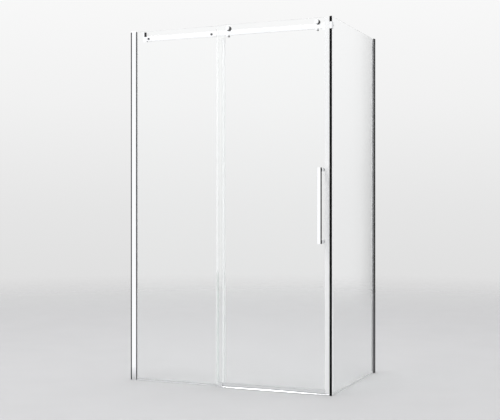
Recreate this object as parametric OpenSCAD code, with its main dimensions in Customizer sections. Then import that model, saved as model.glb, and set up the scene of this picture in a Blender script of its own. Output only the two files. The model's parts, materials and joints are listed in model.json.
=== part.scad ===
// Corner shower enclosure: a fixed front panel, a door that slides on a flat rail, and a side panel.
// x runs from the side wall to the free corner, y from the front to the rear wall, and z up.
// The origin is on the floor in the middle of the whole outline, and the door is closed.

/* [Enclosure] */
// Width from the side wall to the free corner
enclosure_w = 1200; // [1000:10:1600]
// Depth from the free corner to the rear wall
enclosure_d = 800; // [700:10:1200]
// Height of the wall channels and the glass
enclosure_h = 1950; // [1800:10:2200]
// Thickness of every glass panel
glass_t = 8; // [6:1:10]
// Distance from the side wall to the free edge of the fixed panel
fixed_reach = 577; // [500:1:700]
// Overlap of the closed door on the fixed panel
overlap = 37; // [32:1:60]

/* [Wall channels] */
// Length of the legs of the channel on the wall
wall_channel_leg = 19; // [16:1:19]
// Thickness of the web that is screwed to the wall
wall_channel_web = 2; // [1.5:0.5:3]
// Gap between the wall and the glass channel, used up when walls are out of plumb
wall_adjust = 8; // [2:1:10]
// Width of the glass channel along the panel
glass_channel_w = 26; // [26:1:40]
// Depth of the glass channel across the glass
glass_channel_d = 22; // [20:1:30]
// Wall thickness of the glass channel
channel_wall = 1.7; // [1.2:0.1:2.5]
// Distance from the rear of the glass channel to its web
channel_pocket = 14; // [13:1:18]
// Thickness of the small lips at the mouth of the glass channel
lip_t = 1.5; // [1:0.5:2.5]
// Thickness of the top caps
cap_t = 2; // [1:0.5:4]
// Diameter of the wall screw holes
wall_screw_d = 5.5; // [4:0.5:6]
// Distance of the outer wall screws from the ends of the channel
wall_screw_end = 150; // [80:10:300]
// Distance of the outer locking screws from the ends of the channel
lock_screw_end = 250; // [180:10:400]
// Diameter of the locking screws
lock_screw_d = 4; // [3:0.5:4]
// Diameter of the snap covers on the locking screws
lock_cover_d = 12; // [11:1:12]

/* [Rail] */
// Height of the rail
rail_h = 25; // [20:1:35]
// Thickness of the rail
rail_t = 10; // [8:1:12]
// Distance from the top of the enclosure to the middle of the rail
rail_drop = 48; // [45:1:60]
// Distance from the side wall to the end of the rail
rail_start = 92; // [80:1:140]
// Gap between the door glass and the rail
rail_gap = 8; // [7:1:12]
// Length of the spacers between the rail and the fixed glass
spacer_l = 5; // [4:0.5:10]
// Diameter of the spacers
spacer_d = 16; // [14:1:17]
// Diameter of the rail bolts
rail_bolt_d = 8; // [6:1:8]
// Diameter of the round heads of the rail bolts
rail_bolt_head_d = 13; // [11:1:15]
// Diameter of the cap nuts of the rail bolts
cap_nut_d = 22; // [18:1:26]
// Distance from the side wall to the first rail bolt
first_bolt_reach = 119; // [112:1:200]
// Distance from the free edge of the fixed panel to the second rail bolt
second_bolt_inset = 72; // [40:1:120]
// Length of the end stop along the rail
end_stop_l = 22; // [18:1:24]
// Height of the end stop above the rail
end_stop_rise = 26; // [24:1:32]
// Length of the rubber bumper of the end stop
bumper_l = 8; // [8:1:14]

/* [Corner] */
// Length of the corner connector before the side glass
connector_l = 48; // [44:1:60]
// Height of the corner connector
connector_h = 35; // [32:1:42]
// Thickness of the part of the connector that wraps the side glass
clamp_t = 2.5; // [2:0.5:4]
// Diameter of the bolt of the connector
connector_bolt_d = 5; // [4:0.5:6]
// Length of the legs of the edge profile along the side glass
edge_leg_l = 16; // [14:1:22]
// Thickness of the outer leg of the edge profile
edge_wall = 2; // [1.5:0.5:2.5]
// Thickness of the inner leg of the edge profile, which holds the magnet
edge_magnet_leg = 2.8; // [2.5:0.1:4]
// Set-back of the door from the front of the corner
door_set_back = 4; // [4:0.5:8]

/* [Seals, threshold and guide] */
// Wall thickness of the clear seals
seal_wall = 1.2; // [0.8:0.1:1.5]
// Length of the seal legs on the glass
seal_leg = 12; // [8:1:16]
// Distance from the door glass to the tip of its magnetic seal
magnet_seal_l = 14; // [12:1:18]
// Height of the clear seals under the fixed panels
floor_seal_t = 3; // [2:0.5:5]
// Height of the soft fin under the door
sweep_fin_h = 5.5; // [4:0.5:9]
// Width of the threshold
threshold_w = 24; // [20:1:40]
// Height of the threshold under the door
threshold_h = 6; // [5:0.5:10]
// Height of the rib of the threshold behind the door
threshold_rib_h = 14; // [12:1:20]
// Width of the bottom guide along the glass
guide_w = 22; // [16:1:30]
// Height of the bottom guide
guide_h = 20; // [19:1:30]
// Thickness of the walls of the bottom guide
guide_wall = 3; // [2:0.5:5]

/* [Rollers] */
// Distance from the closed edge of the door glass to the left roller
left_roller_inset = 67; // [50:1:120]
// Distance from the other edge of the door glass to the right roller
right_roller_inset = 57; // [50:1:120]
// Radius of the tread of the wheels
tread_r = 10.5; // [9.5:0.5:14]
// Height of the flanges of the wheels above the tread
flange_rise = 2; // [1.5:0.5:2.5]
// Thickness of the flanges of the wheels
flange_t = 2.5; // [2:0.5:3]
// Diameter of the round caps on the door
roller_cap_d = 24; // [22:1:32]
// Height of the round caps on the door
roller_cap_h = 6; // [4:1:16]
// Diameter of the roller shafts
shaft_d = 8; // [6:1:8]
// Outer radius of the ball bearings
bearing_r = 8; // [8:0.1:8.5]
// Width of the ball bearings
bearing_w = 7; // [6:0.5:8]
// Diameter of the anti-lift sleeves below the rail
lift_sleeve_d = 10; // [8:1:12]
// Diameter of the caps of the anti-lift bolts
lift_cap_d = 12; // [10:1:14]

/* [Handle] */
// Length of the handle
handle_l = 390; // [300:10:600]
// Width of the handle bar
handle_w = 20; // [14:1:26]
// Depth of the handle bar
handle_d = 22; // [12:1:26]
// Rounding of the long edges of the handle bar
handle_edge_r = 4; // [1:0.5:5]
// Finger gap between the handle bar and the glass
handle_gap = 38; // [30:1:50]
// Height of the middle of the handle
handle_mid_h = 975; // [800:5:1200]
// Distance from the closing edge of the door glass to the handle
handle_inset = 25; // [24:1:80]
// Diameter of the handle bolts
handle_bolt_d = 6; // [5:1:8]
// Diameter of the caps of the handle bolts inside
handle_cap_d = 20; // [16:1:24]

/* [Hidden] */
$fn = 48;

// Margin by which a cut passes the face it goes through
cut = 1;

// Clearances
fit = 0.3;
running_fit = 0.05;
flange_gap = 0.5;
lift_gap = 0.5;
tread_gap = 0.2;
door_top_drop = 5;
seal_gap = 2;

// Small sizes that several pieces share
washer_t = 1;
liner_t = 0.5;
lip_h = 1.5;
metal_edge_r = 1;
magnet_w = 7;
magnet_t = 1.6;
glass_seat = 1;
glass_hole_wall = 2;
rail_socket_l = 38;
grub_d = 5;

// Planes across the width
wall_x = -enclosure_w / 2;
corner_x = enclosure_w / 2;
fixed_x1 = wall_x + fixed_reach;
side_mid_x = corner_x - glass_channel_d / 2;
side_x0 = side_mid_x - glass_t / 2;
side_x1 = side_mid_x + glass_t / 2;
clamp_x1 = side_x1 + liner_t + clamp_t;
close_x = side_x0 - edge_magnet_leg;
door_tip_x = close_x - fit;
door_x1 = door_tip_x - magnet_seal_l;
door_x0 = fixed_x1 - overlap;

// Planes across the depth
handle_reach = handle_gap + handle_d;
total_d = enclosure_d - door_set_back + handle_reach;
rear_y = total_d / 2;
front_y = rear_y - enclosure_d;
door_y0 = front_y + door_set_back;
door_y1 = door_y0 + glass_t;
door_mid_y = (door_y0 + door_y1) / 2;
rail_y0 = door_y1 + rail_gap;
rail_y1 = rail_y0 + rail_t;
rail_mid_y = (rail_y0 + rail_y1) / 2;
fixed_y0 = rail_y1 + spacer_l + washer_t;
fixed_y1 = fixed_y0 + glass_t;
fixed_mid_y = (fixed_y0 + fixed_y1) / 2;
side_y0 = front_y + clamp_t + liner_t;

// Heights
channel_top = enclosure_h - cap_t;
rail_z = enclosure_h - rail_drop;
rail_top = rail_z + rail_h / 2;
rail_bottom = rail_z - rail_h / 2;
wheel_z = rail_top + tread_gap + tread_r;
flange_r = tread_r + flange_rise;
lift_z = rail_bottom - lift_gap - lift_sleeve_d / 2;
door_z0 = threshold_h + fit + sweep_fin_h + seal_wall;
door_z1 = enclosure_h - door_top_drop;
seal_top = lift_z - max(lift_sleeve_d, lift_cap_d) / 2 - seal_gap;

// Wall channels, in a frame whose x leaves the wall and whose y points into the shower
channel_x0 = wall_adjust;
channel_x1 = channel_x0 + glass_channel_w;
web_x0 = channel_x0 + channel_pocket;
web_x1 = web_x0 + channel_wall;
channel_out = glass_channel_d / 2;
channel_in = channel_out - channel_wall;
wall_leg_out = channel_in - fit;
wall_leg_in = wall_leg_out - channel_wall;
glass_edge = web_x1 + glass_seat;
lock_x = (channel_x0 + wall_channel_leg) / 2 + 1;
lock_head_h = 2.4;
lock_screw_tip = 2;
lock_cover_h = 4;
cap_plug_h = 8;
cap_plug_gap = 1;
gasket_x0 = web_x1 + 2;
gasket_nose = 1;
lock_heights = [lock_screw_end, enclosure_h / 2, enclosure_h - lock_screw_end];
wall_screw_heights = [wall_screw_end, enclosure_h / 2, enclosure_h - wall_screw_end];
fixed_x0 = wall_x + glass_edge;
side_y1 = rear_y - glass_edge;

// Rail, stop and connector
rail_x0 = wall_x + rail_start;
connector_x1 = side_x0 - liner_t;
connector_x0 = side_x0 - connector_l;
rail_x1 = connector_x0 + rail_socket_l;
connector_bolt_x0 = rail_x1 + 2;
rail_bolt_xs = [wall_x + first_bolt_reach, fixed_x1 - second_bolt_inset];
rail_bolt_head_h = 2.5;
cap_nut_h = 8;
clamp_wall = 3;
end_stop_wall = 6;
end_stop_x0 = rail_x0 - end_stop_wall;
end_stop_x1 = end_stop_x0 + end_stop_l;
upstand_t = 8;
bumper_x0 = end_stop_x0 + upstand_t;
bumper_x1 = bumper_x0 + bumper_l;
bumper_margin = 1;
stop_grub_x = rail_x0 + 1.4 * grub_d;

// Door hardware
roller_xs = [door_x0 + left_roller_inset, door_x1 - right_roller_inset];
wheel_half_w = rail_t / 2 + flange_gap + flange_t;
axle_r = shaft_d / 2 + 1;
bush_r = axle_r + glass_hole_wall;
ring_r = shaft_d / 2 + 1.2;
nut_r = bearing_r - 1;
ball_r = 0.9;
balls = 9;
end_screw_r = 2;
end_screw_l = 8;
lift_bolt_r = 3;
lift_cap_h = 4;
lift_y1 = rail_y1 - 1;
handle_x = door_x1 - handle_inset;
post_h = 20;
post_zs = [handle_mid_h - (handle_l - post_h) / 2, handle_mid_h + (handle_l - post_h) / 2];
handle_screw_l = 25;
handle_cap_h = 4;

// Bottom guide
guide_x0 = fixed_x1 - guide_w;
pad_t = 1;
groove_y0 = door_y0 - seal_wall - fit - pad_t;
groove_y1 = door_y1 + seal_wall + fit + pad_t;
guide_y0 = groove_y0 - guide_wall;
guide_y1 = fixed_y1 + guide_wall + metal_edge_r;

// A block between two opposite corners
module block(low, high) {
    translate(low) cube(high - low);
}

// A round rod along y
module y_rod(x, z, y0, y1, r) {
    translate([x, y0, z]) rotate([-90, 0, 0]) cylinder(h = y1 - y0, r = r);
}

// A round rod along x
module x_rod(x0, x1, y, z, r) {
    translate([x0, y, z]) rotate([0, 90, 0]) cylinder(h = x1 - x0, r = r);
}

// A plan outline drawn upwards
module along_z(z0, z1) {
    translate([0, 0, z0]) linear_extrude(z1 - z0) children();
}

// An outline in y and z drawn along x
module along_x(x0, x1) {
    translate([x0, 0, 0]) rotate([90, 0, 90]) linear_extrude(x1 - x0) children();
}

// A turned piece on an axis along y, from an outline of radius and distance
module turned(x, y, z) {
    translate([x, y, z]) rotate([-90, 0, 0]) rotate_extrude() children();
}

// A rectangle with round corners
module round_rect(w, h, r) {
    square([w - 2 * r, h], center = true);
    square([w, h - 2 * r], center = true);
    for (x = [r - w / 2, w / 2 - r], y = [r - h / 2, h / 2 - r]) translate([x, y]) circle(r);
}

// A disc with a rounded-off rim, from its flat back at 0 to its face at -h
module cap_outline(r, h) {
    rim = metal_edge_r;
    polygon([[0, 0], [r, 0], [r, rim - h], [r - 0.3 * rim, 0.3 * rim - h], [r - rim, -h], [0, -h]]);
}

// A clear bush that lines a glass hole, with a washer on each face of the glass
module glass_bush(x, z, y0, inner_r, hole_r, washer_r) {
    difference() {
        union() {
            y_rod(x, z, y0 - washer_t, y0 + glass_t + washer_t, hole_r);
            for (y = [y0 - washer_t, y0 + glass_t]) y_rod(x, z, y, y + washer_t, washer_r);
        }
        y_rod(x, z, y0 - washer_t - cut, y0 + glass_t + washer_t + cut, inner_r);
    }
}

// Places a channel piece against the side wall, at the front panel
module at_side_wall() {
    translate([wall_x, fixed_mid_y, 0]) children();
}

// Places a channel piece against the rear wall, at the side panel
module at_rear_wall() {
    translate([side_mid_x, rear_y, 0]) mirror([1, 1, 0]) children();
}

module wall_channel() {
    difference() {
        along_z(0, channel_top) difference() {
            translate([0, -wall_leg_out]) square([wall_channel_leg, 2 * wall_leg_out]);
            translate([wall_channel_web, -wall_leg_in]) square([wall_channel_leg, 2 * wall_leg_in]);
        }
        for (z = wall_screw_heights) x_rod(-cut, wall_channel_web + cut, 0, z, wall_screw_d / 2);
        for (z = lock_heights) y_rod(lock_x, z, 0, channel_out + cut, lock_screw_d / 2);
    }
}

module glass_channel() {
    difference() {
        along_z(0, channel_top) difference() {
            translate([channel_x0, -channel_out]) square([glass_channel_w, glass_channel_d]);
            translate([channel_x0 - cut, -channel_in]) square([channel_pocket + cut, 2 * channel_in]);
            translate([web_x1, -channel_in]) square([channel_x1 - lip_t - web_x1, 2 * channel_in]);
            translate([web_x1, lip_h - channel_in]) square([glass_channel_w, 2 * (channel_in - lip_h)]);
        }
        for (z = lock_heights) y_rod(lock_x, z, 0, channel_out + cut, lock_screw_d / 2);
    }
}

module channel_gaskets() {
    for (side = [-1, 1]) along_z(0, channel_top) scale([1, side]) union() {
        translate([gasket_x0, glass_t / 2])
            square([channel_x1 - lip_t - gasket_x0, channel_in - glass_t / 2]);
        translate([channel_x1 - lip_t, glass_t / 2])
            square([lip_t + gasket_nose, channel_in - lip_h - glass_t / 2]);
    }
}

module channel_cap() {
    block([0, -channel_out, channel_top], [channel_x1, channel_out, enclosure_h]);
    block(
        [wall_channel_web + cap_plug_gap, fit - wall_leg_in, channel_top - cap_plug_h],
        [web_x0 - cap_plug_gap, wall_leg_in - fit, channel_top]
    );
}

module lock_screws() {
    for (z = lock_heights) {
        y_rod(lock_x, z, wall_leg_in - lock_screw_tip, channel_out, lock_screw_d / 2);
        y_rod(lock_x, z, channel_out, channel_out + lock_head_h, lock_screw_d);
    }
}

module lock_covers() {
    for (z = lock_heights) difference() {
        y_rod(lock_x, z, channel_out, channel_out + lock_cover_h, lock_cover_d / 2);
        y_rod(lock_x, z, channel_out - cut, channel_out + lock_head_h + fit, lock_screw_d + fit);
    }
}

module front_wall_channel() color("gainsboro") at_side_wall() wall_channel();
module front_glass_channel() color("silver") at_side_wall() glass_channel();
module front_channel_gaskets() color("darkgray") at_side_wall() channel_gaskets();
module front_channel_cap() color("silver") at_side_wall() channel_cap();
module front_lock_screws() color("gray") at_side_wall() lock_screws();
module front_lock_covers() color("silver") at_side_wall() lock_covers();
module side_wall_channel() color("gainsboro") at_rear_wall() wall_channel();
module side_glass_channel() color("silver") at_rear_wall() glass_channel();
module side_channel_gaskets() color("darkgray") at_rear_wall() channel_gaskets();
module side_channel_cap() color("silver") at_rear_wall() channel_cap();
module side_lock_screws() color("gray") at_rear_wall() lock_screws();
module side_lock_covers() color("silver") at_rear_wall() lock_covers();

module fixed_glass() {
    color([0.85, 0.93, 0.92, 0.35]) difference() {
        block([fixed_x0, fixed_y0, floor_seal_t], [fixed_x1, fixed_y1, channel_top]);
        for (x = rail_bolt_xs)
            y_rod(x, rail_z, fixed_y0 - cut, fixed_y1 + cut, rail_bolt_d / 2 + glass_hole_wall);
    }
}

// Clips on the free edge, and its fin leans towards the door glass
module fixed_edge_seal() {
    color("whitesmoke") along_z(max(guide_h, door_z0 + seal_leg) + fit, seal_top) {
        difference() {
            translate([fixed_x1 - seal_leg, fixed_y0 - seal_wall])
                square([seal_leg + seal_wall, glass_t + 2 * seal_wall]);
            translate([fixed_x1 - seal_leg - cut, fixed_y0]) square([seal_leg + cut, glass_t]);
        }
        polygon([
            [fixed_x1 + seal_wall, fixed_y0], [fixed_x1 - seal_wall, fixed_y0],
            [fixed_x1 - seal_leg / 2 - seal_wall, door_y1 + fit], [fixed_x1 - seal_leg / 2, door_y1 + fit]
        ]);
    }
}

// A clear strip that closes the slot between a glass edge and the floor
module floor_seal_outline(mid) {
    difference() {
        translate([mid - glass_t / 2 - seal_wall, 0])
            square([glass_t + 2 * seal_wall, floor_seal_t + seal_leg / 2]);
        translate([mid - glass_t / 2, floor_seal_t]) square([glass_t, seal_leg]);
    }
}

module fixed_bottom_seal() {
    color("whitesmoke") along_x(wall_x + channel_x1 + gasket_nose + fit, guide_x0 - fit)
        floor_seal_outline(fixed_mid_y);
}

module side_glass() {
    color([0.85, 0.93, 0.92, 0.35]) difference() {
        block([side_x0, side_y0, floor_seal_t], [side_x1, side_y1, channel_top]);
        x_rod(side_x0 - cut, side_x1 + cut, rail_mid_y, rail_z, connector_bolt_d / 2 + glass_hole_wall);
    }
}

module side_bottom_seal() {
    color("whitesmoke") translate([side_mid_x, 0, 0]) rotate([0, 0, 90])
        along_x(side_y0 + edge_leg_l + fit, rear_y - channel_x1 - gasket_nose - fit) floor_seal_outline(0);
}

module edge_profile_outline() {
    difference() {
        union() {
            translate([close_x, front_y]) square([side_x1 + edge_wall - close_x, side_y0 - front_y]);
            translate([close_x, front_y]) square([edge_magnet_leg, side_y0 + edge_leg_l - front_y]);
            translate([side_x1, front_y]) square([edge_wall, side_y0 + edge_leg_l - front_y]);
        }
        translate([close_x - cut, door_mid_y - magnet_w / 2]) square([magnet_t + cut, magnet_w]);
    }
}

module edge_spans() {
    along_z(0, rail_z - connector_h / 2 - fit) children();
    along_z(rail_z + connector_h / 2 + fit, channel_top) children();
}

module side_edge_profiles() color([0.12, 0.12, 0.13]) edge_spans() edge_profile_outline();

module side_magnet_strips() {
    color([0.2, 0.2, 0.2]) edge_spans()
        translate([close_x, door_mid_y - magnet_w / 2]) square([magnet_t, magnet_w]);
}

module rail() {
    color("gainsboro") difference() {
        along_x(rail_x0, rail_x1) translate([rail_mid_y, rail_z]) round_rect(rail_t, rail_h, metal_edge_r);
        for (x = rail_bolt_xs) y_rod(x, rail_z, rail_y0 - cut, rail_y1 + cut, rail_bolt_d / 2);
    }
}

module rail_spacers() {
    color("silver") for (x = rail_bolt_xs) difference() {
        y_rod(x, rail_z, rail_y1, rail_y1 + spacer_l, spacer_d / 2);
        y_rod(x, rail_z, rail_y1 - cut, rail_y1 + spacer_l + cut, rail_bolt_d / 2);
    }
}

module rail_bolts() {
    color("gray") for (x = rail_bolt_xs) {
        turned(x, rail_y0, rail_z) cap_outline(rail_bolt_head_d / 2, rail_bolt_head_h);
        y_rod(x, rail_z, rail_y0, fixed_y1 + washer_t + cap_nut_h / 2, rail_bolt_d / 2);
    }
}

module rail_cap_nuts() {
    color("silver") for (x = rail_bolt_xs) difference() {
        translate([x, fixed_y1 + washer_t, rail_z]) rotate([90, 0, 0]) rotate_extrude()
            cap_outline(cap_nut_d / 2, cap_nut_h);
        y_rod(x, rail_z, fixed_y1, fixed_y1 + washer_t + cap_nut_h / 2, rail_bolt_d / 2);
    }
}

module rail_glass_bushes() {
    color("whitesmoke") for (x = rail_bolt_xs)
        glass_bush(x, rail_z, fixed_y0, rail_bolt_d / 2, rail_bolt_d / 2 + glass_hole_wall, spacer_d / 2);
}

// The rail's own section, cut out of what holds its ends
module rail_socket(x0, x1) {
    along_x(x0, x1) translate([rail_mid_y, rail_z]) round_rect(rail_t, rail_h, metal_edge_r);
}

module rail_end_stop() {
    clamp_y0 = rail_y0 - clamp_wall;
    clamp_y1 = rail_y1 + clamp_wall;
    color("silver") difference() {
        union() {
            block(
                [end_stop_x0, clamp_y0, rail_bottom - clamp_wall],
                [end_stop_x1, clamp_y1, rail_top - 2 * metal_edge_r]
            );
            block([end_stop_x0, clamp_y0, rail_bottom], [bumper_x0, clamp_y1, rail_top + end_stop_rise]);
        }
        rail_socket(rail_x0, end_stop_x1 + cut);
        translate([stop_grub_x, rail_mid_y, rail_bottom - clamp_wall - cut])
            cylinder(h = clamp_wall + 2 * cut, d = grub_d);
    }
}

module end_stop_bumper() {
    color([0.1, 0.1, 0.1]) along_x(bumper_x0, bumper_x1)
        translate([rail_mid_y, rail_top + end_stop_rise / 2])
            round_rect(rail_t, end_stop_rise - 2 * bumper_margin, metal_edge_r);
}

module end_stop_grub_screw() {
    color("gray") translate([stop_grub_x, rail_mid_y, rail_bottom - clamp_wall + fit])
        cylinder(h = clamp_wall - fit, d = grub_d);
}

module corner_connector() {
    body_y0 = rail_y0 - clamp_wall;
    body_y1 = rail_y1 + clamp_wall;
    rounding = 2;
    color("silver") difference() {
        along_z(rail_z - connector_h / 2, rail_z + connector_h / 2) polygon([
            [connector_x0, body_y0], [close_x, body_y0],
            [close_x, front_y + metal_edge_r], [close_x + metal_edge_r, front_y],
            [clamp_x1 - rounding, front_y], [clamp_x1 - 0.3 * rounding, front_y + 0.3 * rounding],
            [clamp_x1, front_y + rounding],
            [clamp_x1, body_y1], [clamp_x1 - clamp_t, body_y1], [clamp_x1 - clamp_t, front_y + clamp_t],
            [connector_x1, front_y + clamp_t], [connector_x1, body_y1], [connector_x0, body_y1]
        ]);
        rail_socket(connector_x0 - cut, rail_x1);
        x_rod(connector_bolt_x0, clamp_x1 + cut, rail_mid_y, rail_z, connector_bolt_d / 2);
        translate([clamp_x1 - clamp_t, rail_mid_y, rail_z]) rotate([0, 90, 0])
            cylinder(h = clamp_t, r1 = connector_bolt_d / 2, r2 = connector_bolt_d);
        translate([connector_x0 + connector_l / 2, rail_mid_y, rail_z - connector_h / 2 - cut])
            cylinder(h = connector_h / 2, d = grub_d);
    }
}

module connector_bolt() {
    color("gray") {
        x_rod(connector_bolt_x0, clamp_x1 - clamp_t, rail_mid_y, rail_z, connector_bolt_d / 2);
        translate([clamp_x1 - clamp_t, rail_mid_y, rail_z]) rotate([0, 90, 0])
            cylinder(h = clamp_t, r1 = connector_bolt_d / 2, r2 = connector_bolt_d);
    }
}

// A liner on each face of the side glass and a sleeve in its hole
module connector_liners() {
    liner_margin = 1;
    liner_y0 = side_y0 + liner_margin;
    liner_y1 = rail_y1 + clamp_wall;
    half_h = connector_h / 2 - liner_margin;
    color("whitesmoke") difference() {
        union() {
            for (x = [connector_x1, side_x1])
                block([x, liner_y0, rail_z - half_h], [x + liner_t, liner_y1, rail_z + half_h]);
            x_rod(
                connector_x1, side_x1 + liner_t, rail_mid_y, rail_z, connector_bolt_d / 2 + glass_hole_wall
            );
        }
        x_rod(connector_x1 - cut, side_x1 + liner_t + cut, rail_mid_y, rail_z, connector_bolt_d / 2);
    }
}

module connector_grub_screw() {
    color("gray") translate([connector_x0 + connector_l / 2, rail_mid_y, rail_z - connector_h / 2 + fit])
        cylinder(h = (connector_h - rail_h) / 2 - fit, d = grub_d);
}

// A low ramp towards the front, a flat under the door, a rib behind the door and a fall to the inside
module threshold() {
    front_shift = 5;
    y0 = door_mid_y - threshold_w / 2 + front_shift;
    y1 = y0 + threshold_w;
    edge_h = threshold_h - 3;
    bend_h = threshold_h - 1;
    ramp_w = 2;
    rib_y0 = door_y1 + seal_wall + 2 * fit;
    rib_t = 2;
    color("silver") along_x(fixed_x1 + fit, close_x - fit) polygon([
        [y0, 0], [y0, edge_h], [y0 + ramp_w, bend_h], [door_y0, threshold_h],
        [rib_y0, threshold_h], [rib_y0, threshold_rib_h - rib_t / 2],
        [rib_y0 + rib_t / 2, threshold_rib_h], [rib_y0 + rib_t, threshold_rib_h],
        [rib_y0 + rib_t, bend_h], [y1, edge_h], [y1, 0]
    ]);
}

module bottom_guide() {
    color("silver") difference() {
        block([guide_x0, guide_y0, 0], [fixed_x1, guide_y1, guide_h]);
        block([guide_x0 - cut, groove_y0, threshold_h], [fixed_x1 + cut, groove_y1, guide_h + cut]);
        block([guide_x0 - cut, fixed_y0, floor_seal_t], [fixed_x1 + cut, fixed_y1, guide_h + cut]);
        y_rod(guide_x0 + guide_w / 2, guide_h / 2, fixed_y1 - cut, guide_y1 + cut, grub_d / 2);
    }
}

module guide_pads() {
    color([0.08, 0.08, 0.08]) for (y = [groove_y0, groove_y1 - pad_t])
        block([guide_x0, y, threshold_h], [fixed_x1, y + pad_t, guide_h]);
}

module guide_grub_screw() {
    color("gray") y_rod(guide_x0 + guide_w / 2, guide_h / 2, fixed_y1, guide_y1 - fit, grub_d / 2);
}

module door_glass() {
    color([0.85, 0.93, 0.92, 0.35]) difference() {
        block([door_x0, door_y0, door_z0], [door_x1, door_y1, door_z1]);
        for (x = roller_xs) {
            y_rod(x, wheel_z, door_y0 - cut, door_y1 + cut, bush_r);
            y_rod(x, lift_z, door_y0 - cut, door_y1 + cut, lift_bolt_r + glass_hole_wall);
        }
        for (z = post_zs)
            y_rod(handle_x, z, door_y0 - cut, door_y1 + cut, handle_bolt_d / 2 + glass_hole_wall);
    }
}

// Grips the closing edge, with an air chamber and a pocket for the magnet at its tip
module door_magnet_seal() {
    half = glass_t / 2 + seal_wall;
    pocket = magnet_w / 2 + running_fit;
    color("white") along_z(door_z0, door_z1) difference() {
        translate([door_x1 - seal_leg, door_mid_y - half]) square([seal_leg + magnet_seal_l, 2 * half]);
        translate([door_x1 - seal_leg - cut, door_y0]) square([seal_leg + cut, glass_t]);
        translate([door_x1 + seal_wall, door_y0])
            square([magnet_seal_l - 3 * seal_wall - magnet_t - 2 * running_fit, glass_t]);
        translate([door_tip_x - seal_wall - magnet_t - running_fit, door_mid_y - pocket])
            square([magnet_t + 2 * running_fit, 2 * pocket]);
    }
}

module door_magnet_strip() {
    color([0.2, 0.2, 0.2]) along_z(door_z0, door_z1)
        translate([door_tip_x - seal_wall - magnet_t, door_mid_y - magnet_w / 2])
            square([magnet_t, magnet_w]);
}

// Clips on the other edge, and its fin leans towards the fixed glass
module door_edge_seal() {
    color("whitesmoke") along_z(door_z0, seal_top) {
        difference() {
            translate([door_x0 - seal_wall, door_y0 - seal_wall])
                square([seal_leg + seal_wall, glass_t + 2 * seal_wall]);
            translate([door_x0, door_y0]) square([seal_leg + cut, glass_t]);
        }
        polygon([
            [door_x0 - seal_wall, door_y1], [door_x0 + seal_wall, door_y1],
            [door_x0 + seal_leg / 2 + seal_wall, fixed_y0 - fit], [door_x0 + seal_leg / 2, fixed_y0 - fit]
        ]);
    }
}

module door_sweep() {
    color("whitesmoke") along_x(door_x0 + seal_leg + fit, door_x1 - seal_leg - fit) {
        difference() {
            translate([door_y0 - seal_wall, door_z0 - seal_wall])
                square([glass_t + 2 * seal_wall, seal_wall + seal_leg]);
            translate([door_y0, door_z0]) square([glass_t, seal_leg + cut]);
        }
        translate([door_mid_y - seal_wall / 2, threshold_h + fit])
            square([seal_wall, sweep_fin_h + seal_wall / 2]);
    }
}

module handle() {
    bar_y0 = door_y0 - handle_reach;
    bar_y1 = bar_y0 + handle_d;
    post_y1 = door_y0 - washer_t;
    color("gainsboro") difference() {
        union() {
            along_z(handle_mid_h - handle_l / 2, handle_mid_h + handle_l / 2)
                translate([handle_x, (bar_y0 + bar_y1) / 2]) round_rect(handle_w, handle_d, handle_edge_r);
            for (z = post_zs) block(
                [handle_x - handle_w / 2, bar_y1 - 2 * handle_edge_r, z - post_h / 2],
                [handle_x + handle_w / 2, post_y1, z + post_h / 2]
            );
        }
        for (z = post_zs) y_rod(handle_x, z, post_y1 - handle_screw_l, post_y1 + cut, handle_bolt_d / 2);
    }
}

module handle_bolts() {
    inner_y = door_y1 + washer_t;
    color("gray") for (z = post_zs) {
        y_rod(handle_x, z, door_y0 - washer_t - handle_screw_l, inner_y, handle_bolt_d / 2);
        translate([handle_x, inner_y, z]) rotate([90, 0, 0]) rotate_extrude()
            cap_outline(handle_cap_d / 2, handle_cap_h);
    }
}

module handle_washers() {
    color("whitesmoke") for (z = post_zs) glass_bush(
        handle_x, z, door_y0, handle_bolt_d / 2, handle_bolt_d / 2 + glass_hole_wall, handle_w / 2 - 1
    );
}

module roller_axles() {
    cap_y = door_y0 - washer_t;
    shaft_end = rail_mid_y + bearing_w / 2;
    color("silver") for (x = roller_xs) difference() {
        union() {
            turned(x, cap_y, wheel_z) cap_outline(roller_cap_d / 2, roller_cap_h);
            y_rod(x, wheel_z, cap_y, door_y1 + washer_t, axle_r);
            y_rod(x, wheel_z, cap_y, shaft_end, shaft_d / 2);
        }
        y_rod(x, wheel_z, shaft_end - end_screw_l, shaft_end + cut, end_screw_r);
    }
}

module roller_bushes() {
    washer_inset = 3;
    color("whitesmoke") for (x = roller_xs)
        glass_bush(x, wheel_z, door_y0, axle_r, bush_r, roller_cap_d / 2 - washer_inset);
}

// Clamps the glass, and its narrow end bears on the inner ring of the bearing
module roller_hub_nuts() {
    nut_y0 = door_y1 + washer_t;
    nut_y1 = rail_mid_y - wheel_half_w - fit;
    color("silver") for (x = roller_xs) difference() {
        union() {
            y_rod(x, wheel_z, nut_y0, nut_y1, nut_r);
            y_rod(x, wheel_z, nut_y0, rail_mid_y - bearing_w / 2, ring_r);
        }
        y_rod(x, wheel_z, nut_y0 - cut, rail_mid_y, shaft_d / 2);
    }
}

module roller_inner_rings() {
    color("silver") for (x = roller_xs) difference() {
        y_rod(x, wheel_z, rail_mid_y - bearing_w / 2, rail_mid_y + bearing_w / 2, ring_r);
        y_rod(x, wheel_z, rail_mid_y - bearing_w, rail_mid_y + bearing_w, shaft_d / 2);
    }
}

module roller_end_screws() {
    shaft_end = rail_mid_y + bearing_w / 2;
    head_t = 2;
    color("gray") for (x = roller_xs) {
        y_rod(x, wheel_z, shaft_end, shaft_end + head_t, ring_r);
        y_rod(x, wheel_z, shaft_end - end_screw_l, shaft_end, end_screw_r);
    }
}

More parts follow.
